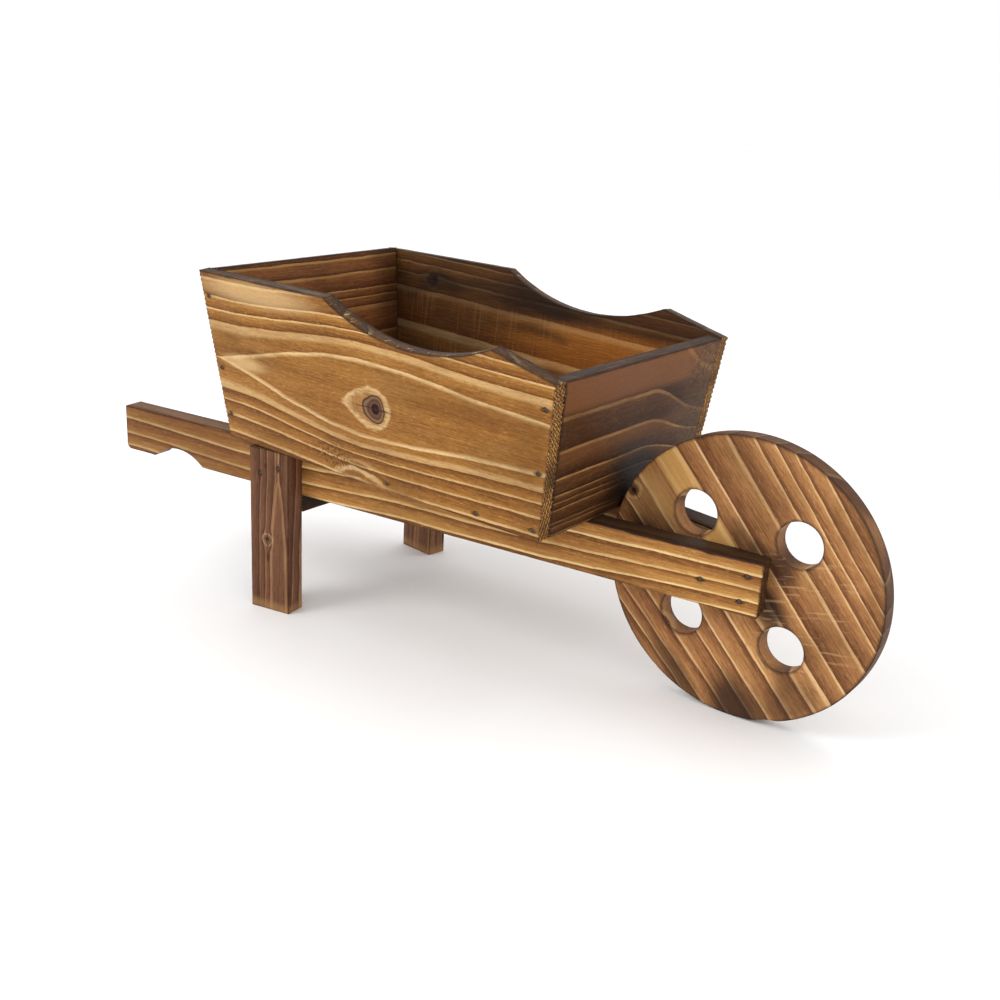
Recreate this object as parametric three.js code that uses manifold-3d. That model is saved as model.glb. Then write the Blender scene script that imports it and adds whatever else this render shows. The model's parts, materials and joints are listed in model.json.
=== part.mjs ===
// A small decorative wheelbarrow planter in scorched softwood. Millimetres, +Z up,
// +X towards the wheel. Every piece is first described in the cart's own frame: x = 0 at
// the rear bottom edge of the box, y = 0 on the centre plane and z = 0 on top of the shafts.
// The whole cart is then pitched nose-down until the feet and the wheel share one floor.
import * as THREE from 'three';
import { mergeVertices } from 'three/addons/utils/BufferGeometryUtils.js';
import Module from 'manifold-3d';

const wasm = await Module();
wasm.setup();

const radians = THREE.MathUtils.degToRad;

// Clearances
const GLUE_GAP = 0.3;
const RUNNING_GAP = 0.1;
const WHEEL_SIDE_GAP = 0.5;

// Stock
const PANEL = 11;
const BAR_WIDTH = 39;
const BAR_THICKNESS = 18;
const CROSSBAR_THICKNESS = 14;

// Planter box
const BOX_LENGTH = 312;
const BOX_HALF_WIDTH = 100;
const SIDE_FLARE = radians(5.3);
const REAR_FLARE = radians(8.3);
const FRONT_FLARE = radians(6);
const EAR_HEIGHT = 134;
const FRONT_HEIGHT = 111;
const PEAK_X = 271.5;
const SCALLOP_RADIUS = 164;
const SCALLOP_CENTRE_X = 204.5;
const SCALLOP_LOW = 110;
const FLOOR_SLOT = 4;

// Shafts, which close in on the wheel
const SHAFT_TOE_IN = radians(8.8);
const SHAFT_OUTER_Y = 89.2;
const SHAFT_REAR = -132.5;
const SHAFT_FRONT = 439.5;
const GRIP_START = -99;
const GRIP_END = -44;
const GRIP_DEPTH = 11;
const HANDLE_ROUNDING = 5;

// Legs and the bar between them
const LEG_REAR = 25;
const LEG_DROP = 139;

// Wheel
const WHEEL_RADIUS = 100;
const WHEEL_THICKNESS = 14;
const AXLE_X = 410.7;
const AXLE_DROP = 23.3;
const AXLE_RADIUS = 6;
const AXLE_SEAT = 10;
const HOLE_RADIUS = 15.8;
const HOLE_PITCH_RADIUS = 53.2;
const HOLE_COUNT = 4;
const FIRST_HOLE_ANGLE = radians(43.6);
const WEDGE_REAR_X = 378;
const WEDGE_FRONT_X = 400;
const WEDGE_MARGIN = 2;

// Nails
const NAIL_RADIUS = 1;
const NAIL_HEAD_RADIUS = 1.8;
const NAIL_HEAD = 0.9;
const NAIL_POINT = 3;
const NAIL_SIDES = 8;
const NAIL_CLEARANCE = 0.3;
const PANEL_NAIL_LENGTH = 30;
const LEG_NAIL_LENGTH = 32;
const WEDGE_NAIL_LENGTH = 19;
const HUB_NAIL_LENGTH = 13;
const CROSSBAR_NAIL_LENGTH = 35;
const FLOOR_NAIL_LENGTH = 30;
const EDGE_NAIL_INSET = 6.5;
const REAR_NAIL_HEIGHTS = [21, 58, 115];
const FRONT_NAIL_HEIGHTS = [7.4, 48.8, 93.2];
const BOTTOM_NAIL_XS = [175, 258];
const LEG_NAILS = [[35.7, -21], [54, -13.9]];
const HUB_NAILS = [
  [398.5, -21.3, WEDGE_NAIL_LENGTH],
  [429.5, -11.3, HUB_NAIL_LENGTH],
  [426.5, -29.8, HUB_NAIL_LENGTH],
];
const FLOOR_NAIL_XS = [30, 155, 285];
const CROSSBAR_NAIL_XS = [29, 46];

// Rounding of curves
const WHEEL_SEGMENTS = 96;
const HOLE_SEGMENTS = 32;
const AXLE_SEGMENTS = 32;
const OUTLINE_ARC_SEGMENTS = 24;

// ---------------------------------------------------------------- materials

function finish(name, color, roughness, metalness = 0) {
  const material = new THREE.MeshStandardMaterial({ color, roughness, metalness });
  material.name = name;
  return material;
}

const BOX_WOOD = ['box_wood', 0xa8733c, 0.5];
const FRAME_WOOD = ['frame_wood', 0xb98550, 0.5];
const WHEEL_WOOD = ['wheel_wood', 0xa06c3c, 0.5];
const HIDDEN_WOOD = ['hidden_wood', 0xc99a62, 0.7];
const STEEL = ['nail_steel', 0x4a4038, 0.55, 0.8];

// ---------------------------------------------------------------- solids

// A closed manifold-3d solid from a three.js geometry.
function solid(geometry) {
  const bare = geometry.clone();
  bare.deleteAttribute('normal');
  bare.deleteAttribute('uv');
  const merged = mergeVertices(bare);
  return new wasm.Manifold(new wasm.Mesh({
    numProp: 3,
    vertProperties: new Float32Array(merged.attributes.position.array),
    triVerts: new Uint32Array(merged.index.array),
  }));
}

// A three.js geometry from a manifold-3d solid.
function geometryOf(body) {
  const mesh = body.getMesh();
  const geometry = new THREE.BufferGeometry();
  geometry.setAttribute('position', new THREE.BufferAttribute(mesh.vertProperties, 3));
  geometry.setIndex(new THREE.BufferAttribute(mesh.triVerts, 1));
  geometry.computeVertexNormals();
  return geometry;
}

// The same geometry on the other side of the centre plane, still facing out.
function mirrored(geometry) {
  const copy = mergeVertices(geometry.clone());
  copy.scale(1, -1, 1);
  const index = copy.index;
  for (let i = 0; i < index.count; i += 3) {
    const second = index.getX(i + 1);
    index.setX(i + 1, index.getX(i + 2));
    index.setX(i + 2, second);
  }
  return copy;
}

// An outline extruded to a board, then laid in a frame of three axes and an origin.
function board(outline, thickness, frame, curveSegments = OUTLINE_ARC_SEGMENTS) {
  const geometry = new THREE.ExtrudeGeometry(outline, { depth: thickness, bevelEnabled: false, curveSegments });
  return geometry.applyMatrix4(frame);
}

function frameOf(xAxis, yAxis, origin) {
  const zAxis = xAxis.clone().cross(yAxis);
  return new THREE.Matrix4().makeBasis(xAxis, yAxis, zAxis).setPosition(origin);
}

function polygon(points) {
  return new THREE.Shape(points.map(([x, y]) => new THREE.Vector2(x, y)));
}

// ---------------------------------------------------------------- frames of the left-hand pieces

const AHEAD = new THREE.Vector3(1, 0, 0);
const LEFT = new THREE.Vector3(0, 1, 0);
const UP = new THREE.Vector3(0, 0, 1);

// Side panel: x runs ahead, y up the flared board, z inwards from the outer face.
const sideUp = UP.clone().applyAxisAngle(AHEAD, -SIDE_FLARE);
const sideFrame = frameOf(AHEAD, sideUp, new THREE.Vector3(0, BOX_HALF_WIDTH, GLUE_GAP));

// Shaft: x runs ahead along the bar, y up, z inwards from the outer face.
const shaftAhead = AHEAD.clone().applyAxisAngle(UP, -SHAFT_TOE_IN);
const shaftFrame = frameOf(shaftAhead, UP, new THREE.Vector3(0, SHAFT_OUTER_Y, 0));

// The y of a shaft's inner face where it crosses a given x.
function shaftInnerY(x) {
  return SHAFT_OUTER_Y - x * Math.tan(SHAFT_TOE_IN) - BAR_THICKNESS / Math.cos(SHAFT_TOE_IN);
}

// Half the room between the side panels' inner faces, a given way up an end panel.
const BOX_HALF_ROOM = BOX_HALF_WIDTH - PANEL / Math.cos(SIDE_FLARE) - GLUE_GAP;

// ---------------------------------------------------------------- pose on the floor

// The pitch at which the foot line touches the wheel's rim.
const legMiddleX = LEG_REAR + BAR_WIDTH / 2;
const wheelAhead = AXLE_X - legMiddleX;
const wheelAbove = LEG_DROP - AXLE_DROP;
const PITCH = Math.acos(WHEEL_RADIUS / Math.hypot(wheelAhead, wheelAbove)) - Math.atan2(wheelAhead, wheelAbove);

// ---------------------------------------------------------------- nails

// Revolved about +Z with the head's top at z = 0 and the point below.
function nailProfile(length, grow, proud) {
  const shank = NAIL_RADIUS + grow;
  const head = NAIL_HEAD_RADIUS + grow;
  return [
    [0, proud],
    [head, proud],
    [head, -NAIL_HEAD - grow],
    [shank, -NAIL_HEAD - grow],
    [shank, NAIL_POINT - length - grow],
    [0, -length - grow],
  ].map(([radius, height]) => new THREE.Vector2(radius, height)).reverse();
}

function nailGeometry(length, head, outward, grow = 0, proud = 0) {
  const geometry = new THREE.LatheGeometry(nailProfile(length, grow, proud), NAIL_SIDES);
  const turn = new THREE.Quaternion().setFromUnitVectors(LEFT, outward);
  return geometry.applyQuaternion(turn).translate(head.x, head.y, head.z);
}

// Every nail of the left side: its name, length, head and the way its head faces.
const nails = [];

function addNail(name, length, head, outward) {
  nails.push({ name, length, head, outward: outward.clone().normalize() });
}

function inFrame(frame, x, y, z) {
  return new THREE.Vector3(x, y, z).applyMatrix4(frame);
}

const sideOut = new THREE.Vector3().setFromMatrixColumn(sideFrame, 2).negate();
const shaftOut = new THREE.Vector3().setFromMatrixColumn(shaftFrame, 2).negate();

REAR_NAIL_HEIGHTS.forEach((height, i) => {
  const x = EDGE_NAIL_INSET - height * Math.tan(REAR_FLARE);
  addNail(`rear_nail_${i + 1}`, PANEL_NAIL_LENGTH, inFrame(sideFrame, x, height, 0), sideOut);
});
FRONT_NAIL_HEIGHTS.forEach((height, i) => {
  const x = BOX_LENGTH - EDGE_NAIL_INSET + height * Math.tan(FRONT_FLARE);
  addNail(`front_nail_${i + 1}`, PANEL_NAIL_LENGTH, inFrame(sideFrame, x, height, 0), sideOut);
});
BOTTOM_NAIL_XS.forEach((x, i) => {
  addNail(`bottom_nail_${i + 1}`, PANEL_NAIL_LENGTH, inFrame(sideFrame, x, PANEL / 2, 0), LEFT);
});
LEG_NAILS.forEach(([along, height], i) => {
  const head = inFrame(shaftFrame, along, height, -BAR_THICKNESS - GLUE_GAP);
  addNail(`leg_nail_${i + 1}`, LEG_NAIL_LENGTH, head, shaftOut);
});
HUB_NAILS.forEach(([along, height, length], i) => {
  addNail(`hub_nail_${i + 1}`, length, inFrame(shaftFrame, along, height, 0), shaftOut);
});
FLOOR_NAIL_XS.forEach((x, i) => {
  const y = shaftInnerY(x) + BAR_THICKNESS / 2;
  addNail(`floor_nail_${i + 1}`, FLOOR_NAIL_LENGTH, new THREE.Vector3(x, y, PANEL + GLUE_GAP), UP);
});
CROSSBAR_NAIL_XS.forEach((x, i) => {
  const y = shaftInnerY(x) + BAR_THICKNESS / 2;
  const z = -BAR_WIDTH - GLUE_GAP - CROSSBAR_THICKNESS;
  addNail(`crossbar_nail_${i + 1}`, CROSSBAR_NAIL_LENGTH, new THREE.Vector3(x, y, z), UP.clone().negate());
});

// A board less the clearance holes of the nails that pass into it.
function drilled(geometry, nailNames, sides = ['left']) {
  let body = solid(geometry);
  for (const nail of nails.filter(({ name }) => nailNames.some((stem) => name.startsWith(stem)))) {
    const tool = nailGeometry(nail.length, nail.head, nail.outward, NAIL_CLEARANCE, 1);
    if (sides.includes('left')) {
      body = body.subtract(solid(tool));
    }
    if (sides.includes('right')) {
      body = body.subtract(solid(mirrored(tool)));
    }
  }
  return geometryOf(body);
}

// ---------------------------------------------------------------- the planter box

// Scalloped side: a level ear, one round dip, a low peak and a straight fall to the front.
function sidePanel() {
  const dipCentreY = SCALLOP_LOW + SCALLOP_RADIUS;
  const dipAngle = (x) => -Math.acos((x - SCALLOP_CENTRE_X) / SCALLOP_RADIUS);
  const earAngle = -Math.PI - Math.asin((EAR_HEIGHT - dipCentreY) / SCALLOP_RADIUS);
  const outline = new THREE.Shape();
  outline.moveTo(0, 0);
  outline.lineTo(BOX_LENGTH, 0);
  outline.lineTo(BOX_LENGTH + FRONT_HEIGHT * Math.tan(FRONT_FLARE), FRONT_HEIGHT);
  outline.lineTo(PEAK_X, dipCentreY + SCALLOP_RADIUS * Math.sin(dipAngle(PEAK_X)));
  outline.absarc(SCALLOP_CENTRE_X, dipCentreY, SCALLOP_RADIUS, dipAngle(PEAK_X), earAngle, true);
  outline.lineTo(-EAR_HEIGHT * Math.tan(REAR_FLARE), EAR_HEIGHT);
  return board(outline, PANEL, sideFrame);
}

// A flared end board that fits between the sides; lean is +1 in front and -1 behind.
function endPanel(height, flare, lean) {
  const up = UP.clone().applyAxisAngle(LEFT, lean * flare);
  const footX = lean > 0 ? BOX_LENGTH : 0;
  const across = lean > 0 ? LEFT.clone().negate() : LEFT.clone();
  const frame = frameOf(across, up, new THREE.Vector3(footX, 0, GLUE_GAP));
  const topHalf = BOX_HALF_ROOM + height * Math.tan(SIDE_FLARE);
  const outline = polygon([
    [-BOX_HALF_ROOM, 0],
    [BOX_HALF_ROOM, 0],
    [topHalf, height / Math.cos(flare)],
    [-topHalf, height / Math.cos(flare)],
  ]);
  const stem = lean > 0 ? 'front_nail' : 'rear_nail';
  return drilled(board(outline, PANEL, frame), [stem], ['left', 'right']);
}

// One of the two boards of the floor, on the left of the drainage slot.
function floorBoard() {
  const rear = PANEL * Math.cos(REAR_FLARE) + GLUE_GAP;
  const front = BOX_LENGTH - PANEL * Math.cos(FRONT_FLARE) - GLUE_GAP;
  const outer = BOX_HALF_ROOM - GLUE_GAP;
  const width = outer - FLOOR_SLOT / 2;
  const geometry = new THREE.BoxGeometry(front - rear, width, PANEL);
  geometry.translate((front + rear) / 2, FLOOR_SLOT / 2 + width / 2, GLUE_GAP + PANEL / 2);
  return drilled(geometry, ['bottom_nail', 'floor_nail']);
}

// ---------------------------------------------------------------- the frame

// The slot that the wheel turns in; the shafts' inner faces are planed back to it.
function wheelSlot() {
  const slot = new THREE.BoxGeometry(
    2 * WHEEL_RADIUS, WHEEL_THICKNESS + 2 * WHEEL_SIDE_GAP, 2 * WHEEL_RADIUS);
  return slot.translate(AXLE_X, 0, -AXLE_DROP);
}

// A bar with a finger grip hollowed from the lower edge near its rounded rear end.
function shaft() {
  const half = (GRIP_END - GRIP_START) / 2;
  const gripRadius = (half * half + GRIP_DEPTH * GRIP_DEPTH) / (2 * GRIP_DEPTH);
  const gripCentreX = (GRIP_START + GRIP_END) / 2;
  const gripCentreY = GRIP_DEPTH - gripRadius - BAR_WIDTH;
  const gripAngle = Math.acos(half / gripRadius);
  const outline = new THREE.Shape();
  outline.moveTo(SHAFT_REAR, 0);
  outline.lineTo(SHAFT_REAR, HANDLE_ROUNDING - BAR_WIDTH);
  outline.absarc(SHAFT_REAR + HANDLE_ROUNDING, HANDLE_ROUNDING - BAR_WIDTH, HANDLE_ROUNDING,
    Math.PI, 1.5 * Math.PI, false);
  outline.absarc(gripCentreX, gripCentreY, gripRadius, Math.PI - gripAngle, gripAngle, true);
  outline.lineTo(SHAFT_FRONT, -BAR_WIDTH);
  outline.lineTo(SHAFT_FRONT, 0);
  const arcSegments = 8;
  const geometry = board(outline, BAR_THICKNESS, shaftFrame, arcSegments);
  const planed = solid(geometry).subtract(solid(wheelSlot()));
  const bored = geometryOf(planed.subtract(solid(axleGeometry(GLUE_GAP))));
  return drilled(bored, ['leg_nail', 'hub_nail', 'floor_nail', 'crossbar_nail']);
}

// A post on the shaft's outer face, its foot cut to stand flat on the floor.
function leg() {
  const outline = polygon([
    [LEG_REAR, 0],
    [LEG_REAR, -LEG_DROP - BAR_WIDTH],
    [LEG_REAR + BAR_WIDTH, -LEG_DROP - BAR_WIDTH],
    [LEG_REAR + BAR_WIDTH, 0],
  ]);
  const frame = shaftFrame.clone().multiply(
    new THREE.Matrix4().makeTranslation(0, 0, -BAR_THICKNESS - GLUE_GAP));
  const floorBlock = new THREE.BoxGeometry(BOX_LENGTH, BOX_LENGTH, BAR_WIDTH * 2);
  floorBlock.translate(0, BOX_HALF_WIDTH, -BAR_WIDTH);
  floorBlock.rotateY(-PITCH).translate(legMiddleX, 0, -LEG_DROP);
  const post = geometryOf(solid(board(outline, BAR_THICKNESS, frame)).subtract(solid(floorBlock)));
  return drilled(post, ['leg_nail']);
}

// A flat bar under both shafts that ties the legs together.
function crossbar() {
  const front = (LEG_REAR + BAR_WIDTH) * Math.cos(SHAFT_TOE_IN);
  const half = SHAFT_OUTER_Y - front * Math.tan(SHAFT_TOE_IN) - GLUE_GAP;
  const geometry = new THREE.BoxGeometry(BAR_WIDTH, 2 * half, CROSSBAR_THICKNESS);
  geometry.translate(front - BAR_WIDTH / 2, 0, -BAR_WIDTH - GLUE_GAP - CROSSBAR_THICKNESS / 2);
  return drilled(geometry, ['crossbar_nail'], ['left', 'right']);
}

// ---------------------------------------------------------------- the wheel

// The dowel between the shafts; with grow, the seat that it is glued into.
function axleGeometry(grow = 0) {
  const length = 2 * (shaftInnerY(AXLE_X) + AXLE_SEAT + grow);
  const dowel = new THREE.CylinderGeometry(AXLE_RADIUS + grow, AXLE_RADIUS + grow, length, AXLE_SEGMENTS);
  return dowel.translate(AXLE_X, 0, -AXLE_DROP);
}

// A tapered packing between each shaft's inner face and the wheel, just behind the axle.
function hubWedge() {
  const inner = WHEEL_THICKNESS / 2 + WHEEL_SIDE_GAP;
  const outline = polygon([
    [WEDGE_REAR_X, inner],
    [WEDGE_FRONT_X, inner],
    [WEDGE_FRONT_X, shaftInnerY(WEDGE_FRONT_X) - GLUE_GAP],
    [WEDGE_REAR_X, shaftInnerY(WEDGE_REAR_X) - GLUE_GAP],
  ]);
  const frame = frameOf(AHEAD, LEFT, new THREE.Vector3(0, 0, WEDGE_MARGIN - BAR_WIDTH));
  return drilled(board(outline, BAR_WIDTH - 2 * WEDGE_MARGIN, frame), ['hub_nail']);
}

// A plain disc with round holes, turning on the dowel; its own origin is on the axis.
function wheel() {
  const rod = (radius, length, segments) => solid(new THREE.CylinderGeometry(radius, radius, length, segments));
  const drillLength = 2 * WHEEL_THICKNESS;
  let body = rod(WHEEL_RADIUS, WHEEL_THICKNESS, WHEEL_SEGMENTS);
  body = body.subtract(rod(AXLE_RADIUS + RUNNING_GAP, drillLength, AXLE_SEGMENTS));
  for (let i = 0; i < HOLE_COUNT; i += 1) {
    const angle = FIRST_HOLE_ANGLE + (i * 2 * Math.PI) / HOLE_COUNT;
    const drill = new THREE.CylinderGeometry(HOLE_RADIUS, HOLE_RADIUS, drillLength, HOLE_SEGMENTS);
    drill.translate(HOLE_PITCH_RADIUS * Math.cos(angle), 0, HOLE_PITCH_RADIUS * Math.sin(angle));
    body = body.subtract(solid(drill));
  }
  return geometryOf(body);
}

// ---------------------------------------------------------------- assembly

const cart = new THREE.Group();

function add(name, geometry, look) {
  const mesh = new THREE.Mesh(geometry, finish(...look));
  mesh.name = name;
  cart.add(mesh);
  return mesh;
}

function addPair(name, geometry, look) {
  add(`${name}_left`, geometry, look);
  add(`${name}_right`, mirrored(geometry), look);
}

addPair('side_panel', drilled(sidePanel(), ['rear_nail', 'front_nail', 'bottom_nail']), BOX_WOOD);
add('end_panel_rear', endPanel(EAR_HEIGHT, REAR_FLARE, -1), BOX_WOOD);
add('end_panel_front', endPanel(FRONT_HEIGHT, FRONT_FLARE, 1), BOX_WOOD);
addPair('floor_board', floorBoard(), BOX_WOOD);
addPair('shaft', shaft(), FRAME_WOOD);
addPair('leg', leg(), FRAME_WOOD);
add('leg_crossbar', crossbar(), FRAME_WOOD);
add('axle', axleGeometry(), HIDDEN_WOOD);
addPair('hub_wedge', hubWedge(), HIDDEN_WOOD);
add('wheel', wheel(), WHEEL_WOOD).position.set(AXLE_X, 0, -AXLE_DROP);
for (const { name, length, head, outward } of nails) {
  addPair(name, nailGeometry(length, head, outward), STEEL);
}

// Pitch the cart on to the floor, then put the origin at the middle of its footprint box.
cart.rotation.y = PITCH;
const standing = new THREE.Group();
standing.add(cart);
standing.updateMatrixWorld(true);
const extent = new THREE.Box3().setFromObject(standing, true);
cart.position.set(-(extent.min.x + extent.max.x) / 2, 0, -extent.min.z);

export default standing;
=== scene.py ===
"""The looks of the wooden garden cart: scorched and brushed fir boards, a solid wheel and sunk nails.

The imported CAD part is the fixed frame. Every board, bar and the wheel is a new mesh of its CAD
node's size, with worn arrises, rough-sawn edges and nail pockets. Lengths are in millimetres in
this file. Each piece has its own axes: x along the grain, y across the face, z through the board.
The wood is one solid pattern of growth rings in those axes, so it runs on over every edge.
"""

import json
import math
import random

import bmesh
import bpy
from mathutils import Matrix, Vector, noise


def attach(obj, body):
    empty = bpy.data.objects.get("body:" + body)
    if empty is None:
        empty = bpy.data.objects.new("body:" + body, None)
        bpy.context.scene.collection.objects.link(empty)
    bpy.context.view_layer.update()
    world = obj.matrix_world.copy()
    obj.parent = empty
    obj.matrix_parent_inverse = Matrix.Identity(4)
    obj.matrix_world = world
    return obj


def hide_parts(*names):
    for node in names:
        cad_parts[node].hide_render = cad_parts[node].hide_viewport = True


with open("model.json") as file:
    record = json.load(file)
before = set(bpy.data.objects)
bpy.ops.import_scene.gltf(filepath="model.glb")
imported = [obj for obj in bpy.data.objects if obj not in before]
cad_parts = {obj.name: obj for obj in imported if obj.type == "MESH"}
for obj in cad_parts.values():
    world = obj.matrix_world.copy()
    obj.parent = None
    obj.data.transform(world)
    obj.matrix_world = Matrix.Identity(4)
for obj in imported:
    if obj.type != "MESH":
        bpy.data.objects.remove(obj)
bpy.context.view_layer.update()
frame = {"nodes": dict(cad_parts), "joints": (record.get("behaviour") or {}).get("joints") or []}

MM = 0.001
SIDES = ((1, "left"), (-1, "right"))

# ---------------- sizes, as in the CAD part

PANEL = 11.0
GAP = 0.3
BOX_LENGTH = 312.0
BOX_HALF_WIDTH = 100.0
SIDE_FLARE = math.radians(5.3)
REAR_FLARE = math.radians(8.3)
FRONT_FLARE = math.radians(6.0)
EAR_HEIGHT = 134.0
FRONT_HEIGHT = 111.0
REAR_HEIGHT = EAR_HEIGHT
PEAK_X = 271.5
SCALLOP_RADIUS = 164.0
SCALLOP_CENTRE = (204.5, 274.0)
PEAK_HEIGHT = SCALLOP_CENTRE[1] - math.sqrt(SCALLOP_RADIUS**2 - (PEAK_X - SCALLOP_CENTRE[0]) ** 2)
FLOOR_SLOT = 4.0
ROOM = BOX_HALF_WIDTH - PANEL / math.cos(SIDE_FLARE) - GAP

BAR_WIDTH = 39.0
BAR_THICKNESS = 18.0
CROSSBAR_THICKNESS = 14.0
TOE_IN = math.radians(8.8)
SHAFT_OUTER_Y = 89.2
SHAFT_REAR = -132.5
SHAFT_FRONT = 439.5
LEFT_SHAFT_SHORTER = 5.5
GRIP_START, GRIP_END, GRIP_DEPTH = -99.0, -44.0, 11.0
HANDLE_ROUNDING = 5.0
LEG_REAR = 25.0
LEG_DROP = 139.0

WHEEL_RADIUS = 100.0
WHEEL_THICKNESS = 14.0
WHEEL_BORE = 6.1
HOLE_RADIUS = 15.8
HOLE_PITCH_RADIUS = 53.2
GRAIN_ANGLE = math.radians(-49.0)
FIRST_HOLE_ANGLE = 43.6
WHEEL_SLOT = 7.5
AXLE_X = 410.7
AXLE_DROP = 23.3
AXLE_SEAT_RADIUS = 6.3
AXLE_SEAT_END = 17.7

POCKET_RADIUS = 1.9
POCKET_START = 2.0
POCKET_DEPTH = 1.3
HEAD_RADIUS = 1.65
HEAD_DEPTH = 0.5
HEAD_RIM = 0.3
NEAR_FACE = 0.6
NAIL_SHANK = 0.95
NAIL_POINT = 3.0
SAW_PITCH = 1.9
WORN_ANGLE = math.radians(42)
END_LEVEL = 0.8

# ---------------- placing

# The cart is drawn level, then pitched until its feet and its wheel stand on one floor.
AXLE = Vector(frame["joints"][0]["pos_m"]) / MM
AHEAD, ABOVE = AXLE_X - LEG_REAR - BAR_WIDTH / 2, LEG_DROP - AXLE_DROP
PITCH = math.acos(WHEEL_RADIUS / math.hypot(AHEAD, ABOVE)) - math.atan2(AHEAD, ABOVE)
PITCHED = Matrix.Rotation(PITCH, 4, "Y")
CART = Matrix.Translation(AXLE) @ PITCHED @ Matrix.Translation((-AXLE_X, 0.0, AXLE_DROP))
HOLE_ANGLES = [math.radians(FIRST_HOLE_ANGLE + 90.0 * i) - PITCH for i in range(4)]


def axes(origin, along, across, parent=CART):
    """The matrix of a piece's own axes in millimetres of the row frame."""
    x, y = Vector(along).normalized(), Vector(across).normalized()
    own = Matrix((x, y, x.cross(y))).transposed().to_4x4()
    own.translation = Vector(origin)
    return parent @ own


def side_axes(side):
    """A side panel: x ahead, y up the flared board, z 0 on the outer face."""
    up = (0, side * math.sin(SIDE_FLARE), math.cos(SIDE_FLARE))
    return axes((0, side * BOX_HALF_WIDTH, GAP), (1, 0, 0), up)


def shaft_axes(side):
    """A shaft: x ahead along the bar, y up, z 0 on the outer face."""
    ahead = (math.cos(TOE_IN), -side * math.sin(TOE_IN), 0)
    return axes((0, side * SHAFT_OUTER_Y, 0), ahead, (0, 0, 1))


def leg_axes(side):
    """A leg: x up, y ahead, z 0 on the shaft's outer face."""
    ahead = (math.cos(TOE_IN), -side * math.sin(TOE_IN), 0)
    return axes((0, side * SHAFT_OUTER_Y, 0), (0, 0, 1), ahead)


def end_axes(x, lean):
    """An end panel: x to the left, y up the leaning board, z 0 on the outer face."""
    return axes((x, 0, GAP), (0, 1, 0), (math.sin(lean), 0, math.cos(lean)))


FLOOR_AXES = axes((0, 0, 0), (1, 0, 0), (0, 1, 0))
CROSSBAR_AXES = axes((0, 0, 0), (0, 1, 0), (1, 0, 0))
WHEEL_AXES = axes(AXLE, (1, 0, 0), (0, 0, 1), Matrix.Identity(4))

# ---------------- outlines


def arc(centre, radius, start, end, steps):
    """Points on an arc, both ends included."""
    turns = [start + (end - start) * i / steps for i in range(steps + 1)]
    return [(centre[0] + radius * math.cos(t), centre[1] + radius * math.sin(t)) for t in turns]


def side_outline():
    """The scalloped side panel, from its rear foot round to its rear ear."""
    cx, cy = SCALLOP_CENTRE
    peak = -math.acos((PEAK_X - cx) / SCALLOP_RADIUS)
    ear = -math.pi - math.asin((EAR_HEIGHT - cy) / SCALLOP_RADIUS)
    return [
        (0, 0),
        (BOX_LENGTH, 0),
        (BOX_LENGTH + FRONT_HEIGHT * math.tan(FRONT_FLARE), FRONT_HEIGHT),
        *arc(SCALLOP_CENTRE, SCALLOP_RADIUS, peak, ear, 40),
        (-EAR_HEIGHT * math.tan(REAR_FLARE), EAR_HEIGHT),
    ]


def end_outline(height, lean):
    top = ROOM + height * math.tan(SIDE_FLARE)
    up = height / math.cos(lean)
    return [(-ROOM, 0), (ROOM, 0), (top, up), (-top, up)]


def shaft_outline():
    """The bar with its finger grip and its rounded lower rear corner."""
    half = (GRIP_END - GRIP_START) / 2
    radius = (half * half + GRIP_DEPTH * GRIP_DEPTH) / (2 * GRIP_DEPTH)
    middle = ((GRIP_START + GRIP_END) / 2, GRIP_DEPTH - radius - BAR_WIDTH)
    angle = math.acos(half / radius)
    corner = (SHAFT_REAR + HANDLE_ROUNDING, HANDLE_ROUNDING - BAR_WIDTH)
    return [
        (SHAFT_REAR, 0),
        *arc(corner, HANDLE_ROUNDING, math.pi, 1.5 * math.pi, 6),
        *arc(middle, radius, math.pi - angle, angle, 18),
        (SHAFT_FRONT, -BAR_WIDTH),
        (SHAFT_FRONT, 0),
    ]


def box_outline(x0, x1, y0, y1):
    return [(x0, y0), (x1, y0), (x1, y1), (x0, y1)]


def rough(outline, step, depth, seed, teeth=(), tooth=0.0):
    """The outline in short steps, each point moved in by up to depth. The edges numbered in teeth
    have saw teeth as well."""
    points = []
    for i, a in enumerate(outline):
        a, b = Vector(a), Vector(outline[(i + 1) % len(outline)])
        run = b - a
        inward = Vector((-run.y, run.x)).normalized()
        pitch = SAW_PITCH if i in teeth else step
        count = max(1, round(run.length / pitch))
        for k in range(count):
            p = a + run * (k / count)
            wave = noise.noise(Vector((p.x * 0.09, p.y * 0.09, seed))) * 0.5 + 0.5
            fine = noise.noise(Vector((p.x * 0.5, p.y * 0.5, seed + 9.0))) * 0.5 + 0.5
            move = depth * (0.6 * wave + 0.4 * fine) if count > 1 else 0.0
            if i in teeth:
                move += tooth * (k % 2) * (0.5 + fine)
            points.append(tuple(p + inward * move))
    return points


# ---------------- nails, read from the CAD nodes


def read_nail(node):
    """(head, point) of a CAD nail in millimetres: the ends of its longest line, its wide end first."""
    places = [v.co / MM for v in node.data.vertices]
    middle = sum(places, Vector()) / len(places)
    tip = max(places, key=lambda p: (p - middle).length)
    reach = max((p - tip).length for p in places)
    rim = [p for p in places if (p - tip).length > reach - HEAD_RIM]
    return sum(rim, Vector()) / len(rim), tip


NAILS = {name: read_nail(node) for name, node in frame["nodes"].items() if "nail" in name}


# ---------------- meshes


def new_mesh(name, bm):
    mesh = bpy.data.meshes.new(name)
    bmesh.ops.recalc_face_normals(bm, faces=bm.faces)
    bm.to_mesh(mesh)
    bm.free()
    return mesh


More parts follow.
